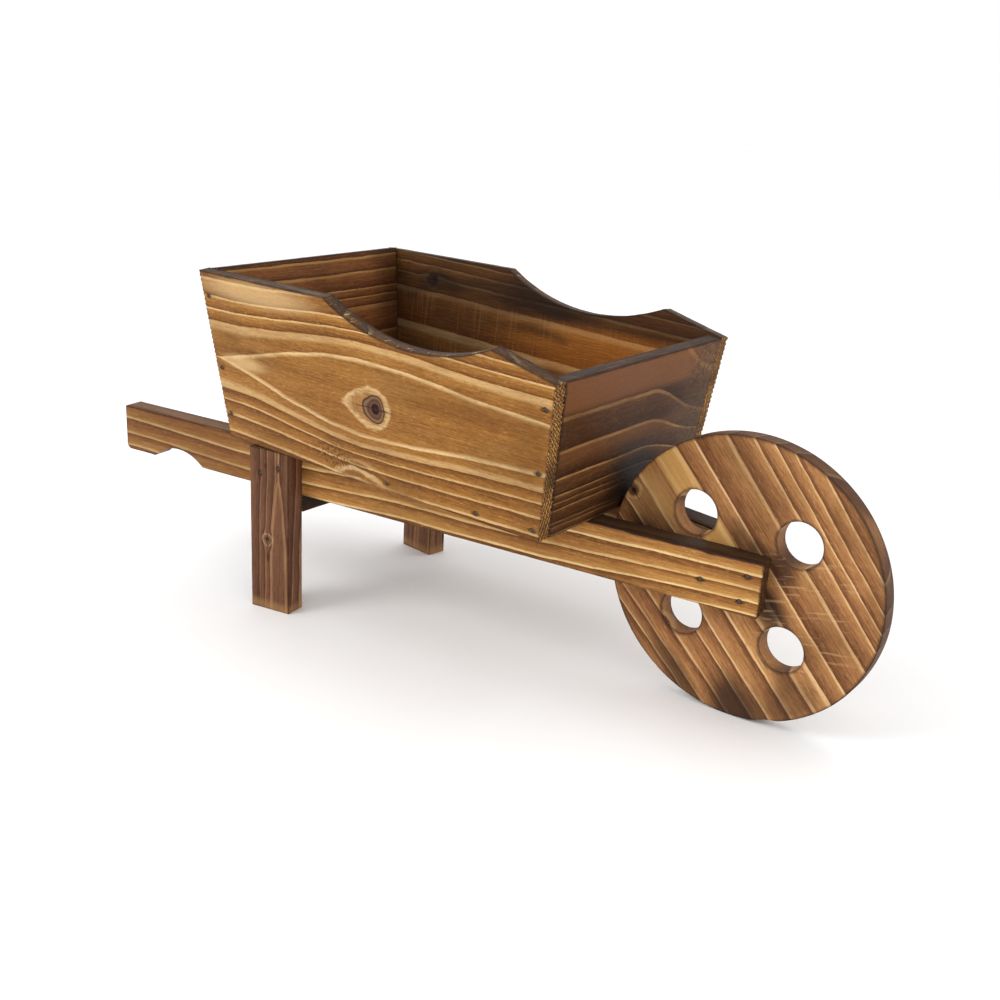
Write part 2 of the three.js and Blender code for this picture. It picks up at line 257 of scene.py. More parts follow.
def linked(name, data):
    """A new object in the scene."""
    o = bpy.data.objects.new(name, data)
    bpy.context.scene.collection.objects.link(o)
    return o


def new_object(name, mesh, matrix):
    """An object in metres whose own axes are the piece's."""
    mesh.transform(Matrix.Scale(MM, 4))
    o = linked(name, mesh)
    place = matrix.copy()
    place.translation = matrix.translation * MM
    o.matrix_world = place
    return o


def prism(outline, low, high):
    """A closed solid of the outline from z low to z high."""
    bm = bmesh.new()
    rings = [[bm.verts.new((x, y, z)) for x, y in outline] for z in (low, high)]
    bm.faces.new(reversed(rings[0]))
    bm.faces.new(rings[1])
    for i in range(len(outline)):
        k = (i + 1) % len(outline)
        bm.faces.new((rings[0][i], rings[0][k], rings[1][k], rings[1][i]))
    return bm


def plane_off(bm, point, outward):
    """Cuts off what lies beyond a plane and closes the cut."""
    everything = bm.verts[:] + bm.edges[:] + bm.faces[:]
    cut = bmesh.ops.bisect_plane(bm, geom=everything, plane_co=point, plane_no=outward, clear_outer=True)
    rim = [part for part in cut["geom_cut"] if isinstance(part, bmesh.types.BMEdge)]
    bmesh.ops.holes_fill(bm, edges=rim, sides=0)


def rod(bm, start, end, radius, sides):
    """Adds a closed round rod between two points."""
    run = Vector(end) - Vector(start)
    turn = run.to_track_quat("Z", "Y").to_matrix().to_4x4()
    place = Matrix.Translation((Vector(start) + Vector(end)) / 2) @ turn
    bmesh.ops.create_cone(
        bm, cap_ends=True, segments=sides, radius1=radius, radius2=radius, depth=run.length, matrix=place
    )


def pockets(matrix, low, high):
    """Start and end of the pocket of each nail whose head is on this piece, in its own axes."""
    back = matrix.inverted()
    found = []
    for head, tip in NAILS.values():
        a, b = back @ head, back @ tip
        inward = (b - a).normalized()
        room = list(zip(a, low, high))
        within = all(lo - NEAR_FACE <= c <= hi + NEAR_FACE for c, lo, hi in room)
        on_face = any(min(abs(c - lo), abs(c - hi)) < NEAR_FACE for c, lo, hi in room)
        if within and on_face:
            found.append((a - inward * POCKET_START, a + inward * POCKET_DEPTH))
    return found


def made_solid(name, bm, matrix, cuts, bevel):
    """The piece with its cuts taken out and its arrises worn round."""
    low = [min(v.co[i] for v in bm.verts) for i in range(3)]
    high = [max(v.co[i] for v in bm.verts) for i in range(3)]
    body = new_object(name, new_mesh(name, bm), matrix)
    tools = [(a, b, POCKET_RADIUS, 14) for a, b in pockets(matrix, low, high)] + cuts
    cutter = None
    if tools:
        cut = bmesh.new()
        for start, end, radius, sides in tools:
            rod(cut, start, end, radius, sides)
        cutter = new_object(name + "_cut", new_mesh(name + "_cut", cut), matrix)
        cutting = body.modifiers.new("cuts", "BOOLEAN")
        cutting.operation, cutting.solver, cutting.object = "DIFFERENCE", "EXACT", cutter
    wear = body.modifiers.new("worn arrises", "BEVEL")
    wear.width, wear.segments = bevel * MM, 3
    wear.limit_method, wear.angle_limit = "ANGLE", WORN_ANGLE
    bpy.context.view_layer.update()
    finished = bpy.data.meshes.new_from_object(body.evaluated_get(bpy.context.evaluated_depsgraph_get()))
    body.modifiers.clear()
    body.data = finished
    if cutter:
        bpy.data.objects.remove(cutter)
    for face in finished.polygons:
        face.use_smooth = True
    finished.set_sharp_from_angle(angle=math.radians(32))
    return body


def dress(o, face_material, end_material):
    """Puts the end-grain material on the faces that look along the grain."""
    o.data.materials.clear()
    o.data.materials.append(face_material)
    o.data.materials.append(end_material)
    for face in o.data.polygons:
        face.material_index = int(abs(face.normal.x) > END_LEVEL)


# ---------------- shader arithmetic


def colour(code):
    """Linear colour of a six-digit sRGB code."""
    parts = [int(code[i : i + 2], 16) / 255 for i in (0, 2, 4)]
    return tuple(c / 12.92 if c <= 0.04045 else ((c + 0.055) / 1.055) ** 2.4 for c in parts) + (1.0,)


class Field:
    """A number that changes over the surface: a socket with arithmetic, so that masks read as formulas."""

    def __init__(self, tree, socket):
        self.tree, self.socket = tree, socket

    def math(self, operation, *others):
        node = self.tree.nodes.new("ShaderNodeMath")
        node.operation = operation
        for slot, value in zip(node.inputs, (self, *others)):
            if isinstance(value, Field):
                self.tree.links.new(value.socket, slot)
            else:
                slot.default_value = value
        return Field(self.tree, node.outputs[0])

    def __add__(self, other):
        return self.math("ADD", other)

    def __sub__(self, other):
        return self.math("SUBTRACT", other)

    def __mul__(self, other):
        return self.math("MULTIPLY", other)

    def __truediv__(self, other):
        return self.math("DIVIDE", other)

    def __neg__(self):
        return self * -1.0

    def __rsub__(self, other):
        return -self + other

    def __abs__(self):
        return self.math("ABSOLUTE")

    __radd__, __rmul__ = __add__, __mul__

    def least(self, other):
        return self.math("MINIMUM", other)

    def most(self, other):
        return self.math("MAXIMUM", other)

    def root(self):
        return self.most(0.0).math("SQRT")

    def rise(self, low, high):
        """0 below low and 1 above high, smooth between. A low above high turns it round."""
        node = self.tree.nodes.new("ShaderNodeMapRange")
        node.interpolation_type = "SMOOTHSTEP"
        self.tree.links.new(self.socket, node.inputs["Value"])
        turned = low > high
        node.inputs["From Min"].default_value = min(low, high)
        node.inputs["From Max"].default_value = max(low, high)
        node.inputs["To Min"].default_value = float(turned)
        node.inputs["To Max"].default_value = float(not turned)
        return Field(self.tree, node.outputs["Result"])

    def graph(self, points, low, high, top):
        """The value of a line graph through points (x, y), for x from low to high and y from 0 to top."""
        node = self.tree.nodes.new("ShaderNodeFloatCurve")
        line = node.mapping.curves[0]
        places = [((x - low) / (high - low), y / top) for x, y in sorted(points)]
        line.points[0].location, line.points[1].location = places[0], places[-1]
        for place in places[1:-1]:
            line.points.new(*place)
        for point in line.points:
            point.handle_type = "VECTOR"
        node.mapping.update()
        scaled = (self - low) / (high - low)
        self.tree.links.new(scaled.socket, node.inputs["Value"])
        return Field(self.tree, node.outputs[0]) * top


def hypot(a, b):
    return (a * a + b * b).root()


class Surface:
    """One material being built: coordinates, noises and layers of colour."""

    def __init__(self, name, seed, turn=0.0):
        self.material = bpy.data.materials.new(name)
        self.material.use_nodes = True
        self.tree = self.material.node_tree
        self.tree.nodes.clear()
        self.seed = seed
        own = self.node("ShaderNodeTexCoord").outputs["Object"]
        scaled = self.node("ShaderNodeVectorMath")
        scaled.operation = "SCALE"
        scaled.inputs["Scale"].default_value = 1.0 / MM
        self.link(own, scaled.inputs[0])
        split = self.node("ShaderNodeSeparateXYZ")
        self.link(scaled.outputs[0], split.inputs[0])
        own_x, own_y, self.z = (Field(self.tree, s) for s in split.outputs)
        self.own_x, self.own_y = own_x, own_y
        self.x, self.y = own_x, own_y
        if turn:
            self.x = own_x * math.cos(turn) + own_y * math.sin(turn)
            self.y = own_y * math.cos(turn) - own_x * math.sin(turn)

    def node(self, kind):
        return self.tree.nodes.new(kind)

    def link(self, a, b):
        self.tree.links.new(a, b)

    def noise(self, fx, fy, fz, detail=2.0, rough=0.5, where=None, shift=0.0):
        """Smooth noise from 0 to 1 whose cells are 1/fx by 1/fy by 1/fz millimetres."""
        x, y, z = where or (self.x, self.y, self.z)
        join = self.node("ShaderNodeCombineXYZ")
        for axis, part in enumerate((x * fx, y * fy, z * fz)):
            moved = part + (self.seed * (3.7 + 2.9 * axis) + shift)
            self.link(moved.socket, join.inputs[axis])
        node = self.node("ShaderNodeTexNoise")
        node.inputs["Scale"].default_value = 1.0
        node.inputs["Detail"].default_value = detail
        node.inputs["Roughness"].default_value = rough
        self.link(join.outputs[0], node.inputs["Vector"])
        return Field(self.tree, node.outputs["Fac"])

    def spot(self, x, y, rx, ry, soft=0.5):
        """1 in the middle of an ellipse and 0 outside it."""
        return hypot((self.x - x) / rx, (self.y - y) / ry).rise(1.0, 1.0 - soft)

    def ramp(self, value, stops):
        node = self.node("ShaderNodeValToRGB")
        steps = node.color_ramp.elements
        steps[0].position, steps[0].color = stops[0]
        steps[1].position, steps[1].color = stops[-1]
        for place, shade in stops[1:-1]:
            steps.new(place).color = shade
        self.link(value.socket, node.inputs["Fac"])
        return node.outputs["Color"]

    def layer(self, below, mask, shade):
        """shade over below where mask is 1."""
        node = self.node("ShaderNodeMix")
        node.data_type = "RGBA"
        self.link(mask.socket, node.inputs[0])
        self.link(below, node.inputs[6])
        if isinstance(shade, tuple):
            node.inputs[7].default_value = shade
        else:
            self.link(shade, node.inputs[7])
        return node.outputs[2]

    def finish(self, base, roughness, height, depth):
        """Joins everything in a Principled shader. depth is the relief in millimetres."""
        shader = self.node("ShaderNodeBsdfPrincipled")
        self.link(base, shader.inputs["Base Color"])
        self.link(roughness.socket, shader.inputs["Roughness"])
        shader.inputs["Specular IOR Level"].default_value = 0.1
        bump = self.node("ShaderNodeBump")
        bump.inputs["Strength"].default_value = 1.0
        bump.inputs["Distance"].default_value = depth * MM
        self.link(height.socket, bump.inputs["Height"])
        self.link(bump.outputs["Normal"], shader.inputs["Normal"])
        out = self.node("ShaderNodeOutputMaterial")
        self.link(shader.outputs[0], out.inputs["Surface"])
        return self.material


# ---------------- the wood

# The black below is used for soot, for knot cores, and for painted shade on the front end and inside the
# far side.
SOOT_AND_SHADE_BLACK = colour("17100C")
CHAR = colour("33261F")
PALE = colour("E3C18C")


def shades(*codes):
    """The dark, middle and light of a wood, and the bright line that ends each ring."""
    return [colour(code) for code in codes]


GOLDEN = shades("673D19", "8F5E28", "AD7D40", "E6C38B")
TAWNY = shades("6A4126", "9C6A41", "BC8954", "EAC490")
HONEY = shades("6F4220", "A3703A", "C2904F", "F6D69A")
RUSSET = shades("4C2E1F", "6B4732", "7F563E", "9C7350")
BRONZE = shades("4A2A15", "764828", "8E5D33", "B88C54")
UMBER = shades("321B0C", "4A2D17", "674325", "A67C4C")

RING_STEP = 11.0
RING_REACH = 150.0


class Knot:
    """A knot at (x, y) of a board: its radius, its pale halo's radius, how many times longer the halo
    is towards -x, and how pale it is."""

    def __init__(self, x, y, radius, halo, trail=1.0, pale=0.8):
        self.x, self.y, self.radius, self.halo, self.trail, self.pale = x, y, radius, halo, trail, pale


def burnt_wood(
    name, seed, palette, centre, rings_below, rings_above, edge, warp=None, lens=None, knots=(),
    layers=None, slant=0.5, burn=0.35, wobble=2.4, turn=0.0, arris=2.2, mottle=0.8, crest=0.8,
    nails=(),
):
    """Scorched and brushed fir. rings_below and rings_above are the distances of the bright ring lines
    from the centre line, in millimetres. lens is the half height of a clear lens of wood about that
    line, as points (x, half height). edge(s) gives the distance to the nearest arris. layers(s, base)
    paints what only this piece has, turn is the grain's angle in the piece's axes, mottle is how
    much the face is flecked, and crest is how far through a ring its bright line begins."""
    s = Surface(name, seed, turn)
    x, y, z = s.x, s.y, s.z

    # The grain's way across the board, bent round knots and wandering slowly.
    across = (warp(s) if warp else y) - centre
    wander = (s.noise(0.006, 0.018, 0.02, 2.0) - 0.5) * wobble * 2.0
    shiver = (s.noise(0.035, 0.16, 0.16, 3.0, 0.6, shift=5.0) - 0.5) * 2.2
    across = across + wander + shiver
    for knot in knots:
        dx, dy = (x - knot.x) / (knot.halo * 1.5), (y - knot.y) / knot.halo
        pull = (dx * dx + dy * dy).rise(1.6, 0.0)
        across = across - (y - knot.y) * pull * 0.6
    if lens:
        low, high = lens[0][0], lens[-1][0]
        half = x.graph(lens, low, high, 40.0)
        distance = (across * across - half * half).root()
        depth_in = half - abs(across)
        inside = depth_in.rise(-0.3, 0.5)
    else:
        distance = abs(across)
    distance = distance + z * slant
    above = across.math("GREATER_THAN", 0.0)

    # Ring number: a line graph through the bright lines, one on each side of the centre. Past those
    # listed, the rings are evenly spaced.
    lower = [(d, float(i + 1)) for i, d in enumerate(rings_below)]
    upper = [(d, float(i + 1)) for i, d in enumerate(rings_above)]
    for row in (lower, upper):
        while row[-1][0] < RING_REACH:
            row.append((row[-1][0] + RING_STEP, row[-1][1] + 1.0))
    graph_low = distance.graph([(-20.0, 0.0), *lower], -20.0, RING_REACH, 30.0)
    graph_high = distance.graph([(-20.0, 0.0), *upper], -20.0, RING_REACH, 30.0)
    number = graph_low + (graph_high - graph_low + 40.0) * above
    phase = number.math("FRACT")
    ring = number.math("FLOOR")
    lot = s.node("ShaderNodeTexWhiteNoise")
    lot.noise_dimensions = "1D"
    s.link((ring + seed * 17.3).socket, lot.inputs["W"])
    lot = Field(s.tree, lot.outputs["Value"])

    # Long fibres, brushed streaks, short flecks and slow clouds of scorching.
    fibre = s.noise(0.025, 0.9, 0.9, 3.0, 0.6, shift=11.0).rise(0.3, 0.7)
    streak = s.noise(0.11, 0.62, 0.62, 3.0, 0.65, shift=23.0).rise(0.34, 0.66)
    fleck = s.noise(0.24, 0.95, 0.95, 2.0, 0.6, shift=31.0)
    cloud = s.noise(0.014, 0.03, 0.03, 3.0, 0.55, shift=41.0)
    broken = s.noise(0.03, 0.2, 0.2, 2.0, 0.6, shift=47.0).rise(0.3, 0.62)
    band = s.noise(0.007, 0.1, 0.1, 3.0, 0.55, shift=53.0).rise(0.3, 0.7)

    dark, middle, light, line = palette
    tone = phase * 0.56 + (fibre - 0.5) * 0.26 + (streak - 0.5) * 0.18 * mottle + (lot - 0.5) * 0.16
    tone = (tone + (band - 0.5) * 0.16 + 0.1).most(0.0).least(0.84)
    base = s.ramp(tone, [(0.0, dark), (0.36, middle), (0.76, light), (1.0, line)])
    base = s.layer(base, phase.rise(0.26, 0.02) * (0.4 + 0.4 * lot), dark)
    late = phase.rise(crest, 0.4 * crest + 0.58) * phase.rise(1.0, 0.975)
    base = s.layer(base, late * (0.4 + 0.5 * lot) * (0.6 + 0.4 * broken), line)
    if lens:
        clear = 0.42 + (fibre - 0.5) * 0.3 + (streak - 0.5) * 0.22
        clear = clear + (cloud - 0.5) * 0.5 + (band - 0.5) * 0.2
        heart = s.ramp(clear.most(0.0), [(0.0, dark), (0.35, middle), (0.85, light), (1.0, line)])
        base = s.layer(base, inside, heart)
        rim = depth_in.rise(3.8, 0.4) * depth_in.rise(-0.8, 0.2)
        base = s.layer(base, rim * (0.5 + 0.4 * broken), line)
    base = s.layer(base, fleck.rise(0.55, 0.72) * 0.42 * mottle, dark)
    base = s.layer(base, fleck.rise(0.42, 0.26) * 0.24 * mottle, line)

    # Knots: a pale halo with dark hatching behind, a dark ringed core and a drying check.
    relief = phase.rise(0.6, 0.95) * 0.4 + fibre * 0.3 + streak * 0.3 - fleck * 0.4
    for knot in knots:
        dx, dy = x - knot.x, y - knot.y
        back = dx.rise(0.5, -0.5)
        stretched = dx / (1.0 + back * (knot.trail - 1.0))
        ripple = (s.noise(0.12, 0.12, 0.1, 2.0, shift=51.0) - 0.5) * knot.halo * 0.3
        pointed = dy * (1.0 + back * (stretched / knot.halo) * (stretched / knot.halo) * 0.9)
        reach = hypot(stretched, pointed) + ripple
        halo = reach.rise(knot.halo, knot.halo * 0.84)
        outer = reach.rise(knot.halo * 0.55, knot.halo * 0.86)
        base = s.layer(base, halo * knot.pale * (0.2 + 0.8 * outer) * (0.45 + 0.55 * streak), PALE)
        hatch = s.noise(0.6, 0.05, 0.05, 2.0, shift=57.0).rise(0.42, 0.62)
        behind = dx.rise(-0.6 * knot.halo, -0.9 * knot.halo)
        between = reach.rise(knot.halo * 0.88, knot.halo * 0.7) * behind
        base = s.layer(base, hatch * between * 0.6 * knot.pale, middle)
        skew = dx - knot.radius * 0.22 * (abs(dx) / knot.radius).rise(1.0, 0.3)
        core = (skew * skew * 0.92 + dy * dy).root() + ripple * 0.35
        heart = s.ramp(
            core / knot.radius,
            [
                (0.0, colour("6A2416")),
                (0.12, colour("2A0F0A")),
                (0.34, SOOT_AND_SHADE_BLACK),
                (0.45, colour("6B4632")),
                (0.66, colour("4E3324")),
                (0.82, colour("84664C")),
                (0.95, colour("3E2416")),
            ],
        )
        base = s.layer(base, core.rise(knot.radius * 1.04, knot.radius * 0.96), heart)
        check = abs(dy + (s.noise(0.15, 0.3, 0.1, 2.0, shift=61.0) - 0.5) * 2.2).rise(0.9, 0.15)
        along = (abs(dx) / (knot.radius * 2.6)).rise(1.0, 0.35)
        base = s.layer(base, check * along * 0.75, colour("3A2012"))
        relief = relief - core.rise(knot.radius * 0.5, 0.0) * 1.2

    # Scorching: clouds, then the worn and blackened arrises.
    base = s.layer(base, cloud.rise(0.4, 0.72) * burn, colour("3F2411"))
    if layers:
        base = layers(s, base)
    for start, _ in nails:
        mark = (s.spot(start.x, start.y, 6.5, 3.0, 0.9) + (fleck - 0.5) * 0.6).rise(0.1, 0.9)
        base = s.layer(base, mark * 0.75, colour("33200F"))
    ragged = edge(s) + (s.noise(0.06, 0.25, 0.25, 3.0, 0.65, shift=71.0) - 0.5) * 3.4
    base = s.layer(base, ragged.rise(arris, 0.2) * 0.66, CHAR)
    shine = 0.52 + (fibre - 0.5) * 0.14 + ragged.rise(2.5, 0.0) * 0.18
    return s.finish(base, shine, relief, 0.36)


def end_grain(name, seed, palette, centre_y=60.0, centre_z=-30.0, spacing=2.7, burn=0.3):
    """Sawn ends: the rings seen end on, as arcs across the thickness, broken by the saw's teeth."""
    s = Surface(name, seed)
    zigzag = ((s.y * 0.27).math("PINGPONG", 0.5) - 0.25) * 3.0
    dy, dz = s.y - centre_y, s.z - centre_z + zigzag
    reach = (dy * dy * 0.3 + dz * dz).root() + (s.noise(0.05, 0.05, 0.05) - 0.5) * 3.0
    phase = (reach / spacing).math("FRACT")
    pores = s.noise(0.8, 0.8, 0.8, 3.0, 0.7).rise(0.3, 0.7)
    dark, middle, light, line = palette
    tone = (phase * 0.8 + (pores - 0.5) * 0.5 + 0.1).most(0.0).least(1.0)
    base = s.ramp(tone, [(0.0, CHAR), (0.3, dark), (0.55, middle), (0.78, light), (0.95, line)])
    cloud = s.noise(0.03, 0.05, 0.05, 2.0, shift=7.0)
    base = s.layer(base, cloud.rise(0.38, 0.75) * burn, CHAR)
    relief = phase * 0.6 + pores * 0.6
    return s.finish(base, 0.72 + (pores - 0.5) * 0.16, relief, 0.45)


def nail_steel():
    """Dull dark steel with a little rust and soot in the pocket."""
    s = Surface("sunk nail steel", 3)
    rust = s.noise(0.9, 0.9, 0.9, 3.0, 0.6)
    base = s.ramp(rust, [(0.3, colour("1F1712")), (0.5, colour("54493F")), (0.75, colour("46301F"))])
    material = s.finish(base, 0.42 + rust * 0.3, rust, 0.06)
    shader = next(n for n in s.tree.nodes if n.type == "BSDF_PRINCIPLED")
    shader.inputs["Metallic"].default_value = 0.2
    return material


# ---------------- distances to the arrises


def board_arris(outline, low, high):
    """The distance to the nearest arris of a board with straight edges."""

    def distance(s):
        nearest = None
        for i, a in enumerate(outline):
            a, b = Vector(a), Vector(outline[(i + 1) % len(outline)])
            n = Vector((a.y - b.y, b.x - a.x)).normalized()
            d = s.x * n.x + s.y * n.y - (a.x * n.x + a.y * n.y)
            nearest = d if nearest is None else nearest.least(d)
        face = (s.z - low).least(high - s.z)
        return nearest.most(face)

    return distance


def side_arris(low, high):
    """The same for a side panel, whose top is scalloped."""

    def distance(s):
        top = side_top(s)
        edge = (s.x + s.y * math.tan(REAR_FLARE)).least(BOX_LENGTH + s.y * math.tan(FRONT_FLARE) - s.x)
        edge = edge.least(s.y).least(top)
        face = (s.z - low).least(high - s.z)
        return edge.most(face)

    return distance


def side_top(s):
    """How far below the side panel's top edge a point is."""
    dx, dy = s.x - SCALLOP_CENTRE[0], s.y - SCALLOP_CENTRE[1]
    dip = hypot(dx, dy) - SCALLOP_RADIUS
    slope = (FRONT_HEIGHT - PEAK_HEIGHT) / (BOX_LENGTH + FRONT_HEIGHT * math.tan(FRONT_FLARE) - PEAK_X)
    front = PEAK_HEIGHT + (s.x - PEAK_X) * slope - s.y
    behind = s.x.rise(PEAK_X + 1, PEAK_X - 1)
    return (EAR_HEIGHT - s.y).least(dip * behind + front * (1.0 - behind))


def wheel_arris(s):
    """The distance to the rim's or a hole's arris. The holes are placed in the wheel's own axes."""
    face = WHEEL_THICKNESS / 2 - abs(s.z)
    edge = WHEEL_RADIUS - hypot(s.x, s.y)
    for angle in HOLE_ANGLES:
        dx = s.own_x - HOLE_PITCH_RADIUS * math.cos(angle)
        dy = s.own_y - HOLE_PITCH_RADIUS * math.sin(angle)
        edge = edge.least(hypot(dx, dy) - HOLE_RADIUS)
    return edge.most(face)


# ---------------- each piece's own marks


def top_edge_char(s, base, below_top, much=0.86):
    """The charred top edge of a board, with a few paler fibres along it."""
    depth = below_top + (s.noise(0.08, 0.5, 0.3, 2.0, shift=4.0) - 0.5) * 1.6
    base = s.layer(base, depth.rise(1.5, 0.1) * much, colour("291C13"))
    fibres = s.noise(0.05, 0.9, 1.1, 3.0, 0.6, shift=17.0).rise(0.55, 0.68)
    return s.layer(base, below_top.rise(0.7, 0.1) * fibres * 0.45, colour("7C6148"))


def near_panel_layers(s, base):
    base = s.layer(base, s.spot(26, 67, 34, 9, 0.8) * 0.5, PALE)
    curl = s.noise(0.06, 0.12, 0.1, 3.0, 0.6, shift=3.0)
    swirl = s.spot(146, 4, 34, 17, 0.7)
    turns = (hypot((s.x - 146) / 1.9, s.y + 8) + (curl - 0.5) * 8.0) * 0.85
    turns = turns.math("SINE") * 0.5 + 0.5
    base = s.layer(base, swirl * turns.rise(0.45, 1.0) * 0.6, PALE)
    base = s.layer(base, swirl * turns.rise(0.4, 0.0) * 0.4, GOLDEN[0])
    speck = s.noise(0.4, 0.4, 0.3, 3.0, 0.7, shift=9.0)
    base = s.layer(base, s.spot(120, 15, 32, 16, 0.8) * speck.rise(0.5, 0.57) * 0.8, colour("4A2B12"))
    base = s.layer(base, s.spot(45, 124, 85, 13, 0.7) * 0.45, PALE)
    base = s.layer(base, s.spot(252, 77, 70, 13, 0.9) * 0.45, GOLDEN[0])
    base = s.layer(base, s.spot(306, 60, 26, 60, 0.9) * 0.3, colour("5A3614"))
    # Painted shade: the inner face, inside the box, is darkened.
    base = s.layer(base, s.z.rise(-6.0, -9.0) * 0.7, colour("2E180C"))
    return top_edge_char(s, base, side_top(s))


def far_panel_layers(s, base):
    # Painted light and shade on the inner face: it is darkened as painted shade, except for a patch high up
    # in the middle, which is lightened as painted light.
    inner = s.z.rise(6.0, 9.0)
    painted_light_patch = s.x.rise(80, 230) * s.y.rise(102, 92)
    base = s.layer(base, inner * (1.0 - painted_light_patch) * 0.78, colour("2E1509"))
    base = s.layer(base, inner * painted_light_patch * 0.5, colour("9A5617"))
    # Soot-coloured mottling on the inner face, strongest in a band under the top edge; it deepens the
    # painted shade inside the box.
    soot_and_shade = s.noise(0.012, 0.05, 0.05, 3.0, shift=2.0) + s.spot(110, 112, 190, 16, 0.9) * 0.35
    base = s.layer(base, inner * soot_and_shade.rise(0.5, 0.8) * 0.75, SOOT_AND_SHADE_BLACK)
    saw = s.noise(0.42, 0.014, 0.05, 2.0, shift=81.0).rise(0.54, 0.66)
    base = s.layer(base, inner * saw * s.y.rise(104, 96) * 0.08, colour("B98A55"))
    return top_edge_char(s, base, side_top(s))


def front_panel_layers(s, base):
    plain = s.y.rise(84, 92)
    base = s.layer(base, plain * 0.42, colour("96603A"))
    base = s.layer(base, s.y.rise(44, 60) * s.y.rise(66, 60) * 0.3, colour("7A4E2C"))
    # Painted shade low in the middle of the panel, where the wheel's rim stands close in front of it; it is
    # mottled and has the colour of soot.
    soot_and_shade = s.spot(6, 22, 62, 52, 1.0) + (s.noise(0.03, 0.05, 0.05, 3.0, shift=6.0) - 0.5) * 0.5
    base = s.layer(base, soot_and_shade.rise(0.15, 0.95) * 0.85, SOOT_AND_SHADE_BLACK)
    speck = s.noise(0.3, 0.35, 0.3, 3.0, 0.7, shift=9.0)
    base = s.layer(base, s.x.rise(50, 80) * 0.45, colour("5E4326"))
    base = s.layer(base, s.x.rise(50, 75) * speck.rise(0.46, 0.58) * 0.55, colour("2E1C0F"))
    return top_edge_char(s, base, FRONT_HEIGHT / math.cos(FRONT_FLARE) - s.y, 0.9)


def rear_panel_layers(s, base):
    inner = s.z.rise(6.0, 9.0)
    # Painted shade on the inner face, towards its corner with the far side.
    base = s.layer(base, s.x.rise(55, 92) * inner * 0.6, colour("21120B"))
    return top_edge_char(s, base, REAR_HEIGHT / math.cos(REAR_FLARE) - s.y)


def shaft_layers(side):
    """Redder at the rear, painted shade on the inner face, a top that is charred towards the front, and
    light streaks along the top that are a painted sheen.
    """

    def paint(s, base):
        base = s.layer(base, s.x.rise(70, -30) * 0.5, colour("57331E"))
        # Painted shade: the inner face is darkened.
        base = s.layer(base, (s.z * side).rise(11.0, 16.0) * 0.5, colour("3A2214"))
        char = s.x.rise(100, 300)
        top = (-s.y + (s.noise(0.05, 0.3, 0.4, 3.0, 0.6, shift=19.0) - 0.5) * 4.0).rise(1.9, 0.5)
        worn = top.most((-s.y).rise(0.9, 0.2))
        base = s.layer(base, worn * 0.8, colour("5A3520"))
        base = s.layer(base, worn * char * 0.85, colour("21130C"))
        # Painted sheen: light streaks along the top face.
        streak = s.noise(0.03, 0.8, 0.9, 3.0, 0.6, shift=8.0)
        return s.layer(base, (-s.y).rise(0.8, 0.1) * streak.rise(0.54, 0.68) * 0.3, colour("835A3C"))

    return paint


def leg_layers(s, base):
    base = s.layer(base, s.x.rise(-128, -136) * 0.4, colour("B58B58"))
    base = s.layer(base, s.spot(-92, 43, 7, 2.2, 0.8) * 0.7, colour("2B1A12"))
    return s.layer(base, s.spot(-14, 41, 3.0, 1.6, 0.7) * 0.6, colour("2B1A12"))


def wheel_layers(s, base):
    near = s.z.rise(2.0, 5.0)
    pale = s.y.rise(-6.5, -5.5) * s.y.rise(14.5, 13.5)
    base = s.layer(base, near * pale * s.x.rise(2, -30) * 0.62, colour("D0A05C"))
    base = s.layer(base, near * s.spot(-78, -18, 34, 17, 0.8) * 0.4, colour("CFA061"))
    # Dark patches, in the grain's axes: scorching, except (8, 34), (25, 10) and (-52, -44), which are
    # painted shadow of the near shaft at its front end and along it.
    # This noise roughens the edges of all the patches, the scorched ones and the painted shadow alike.
    soot = s.noise(0.02, 0.035, 0.035, 3.0, shift=12.0)
    for x, y, rx, ry, much in (
        (78, -56, 58, 34, 0.95),
        (40, -84, 60, 16, 0.8),
        (-52, -44, 40, 26, 0.9),
        (-22, 20, 32, 14, 0.55),
        (8, 34, 26, 16, 0.85),
        (25, 10, 27, 18, 0.95),
        (-10, 26, 16, 12, 0.6),
        (62, -8, 30, 12, 0.5),
        (86, -14, 26, 34, 0.55),
    ):
        mask = (s.spot(x, y, rx, ry, 1.0) + (soot - 0.5) * 0.5).rise(0.1, 0.9)
        base = s.layer(base, mask * much * 0.92, colour("33221A"))
    # Light scratches of the saw, almost level, ahead of the middle.
    tilt = math.radians(12.5)
    along = s.own_x * math.cos(tilt) + s.own_y * math.sin(tilt)
    over = s.own_y * math.cos(tilt) - s.own_x * math.sin(tilt)
    dash = s.noise(1.0, 1.0, 0.1, 1.0, 0.4, (along * 0.04, over * 0.5, s.z), 81.0).rise(0.6, 0.7)
    field = hypot((s.own_x - 48) / 46, (s.own_y + 12) / 56).rise(1.0, 0.6)
    base = s.layer(base, near * dash * field * 0.26, colour("DDB683"))
    rim = hypot(s.x, s.y).rise(WHEEL_RADIUS - 1.1, WHEEL_RADIUS - 0.3)
    patch = s.noise(0.012, 0.012, 0.03, 2.0, shift=14.0).rise(0.5, 0.62)
    return s.layer(base, rim * (0.8 - 0.45 * patch), colour("3E2618"))


def crossbar_layers(s, base):
    return s.layer(base, 0.75 + (s.noise(0.02, 0.2, 0.2) - 0.5) * 0.6, colour("241812"))


# ---------------- building the pieces


def piece(o, body, node):
    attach(o, body)
    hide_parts(node)


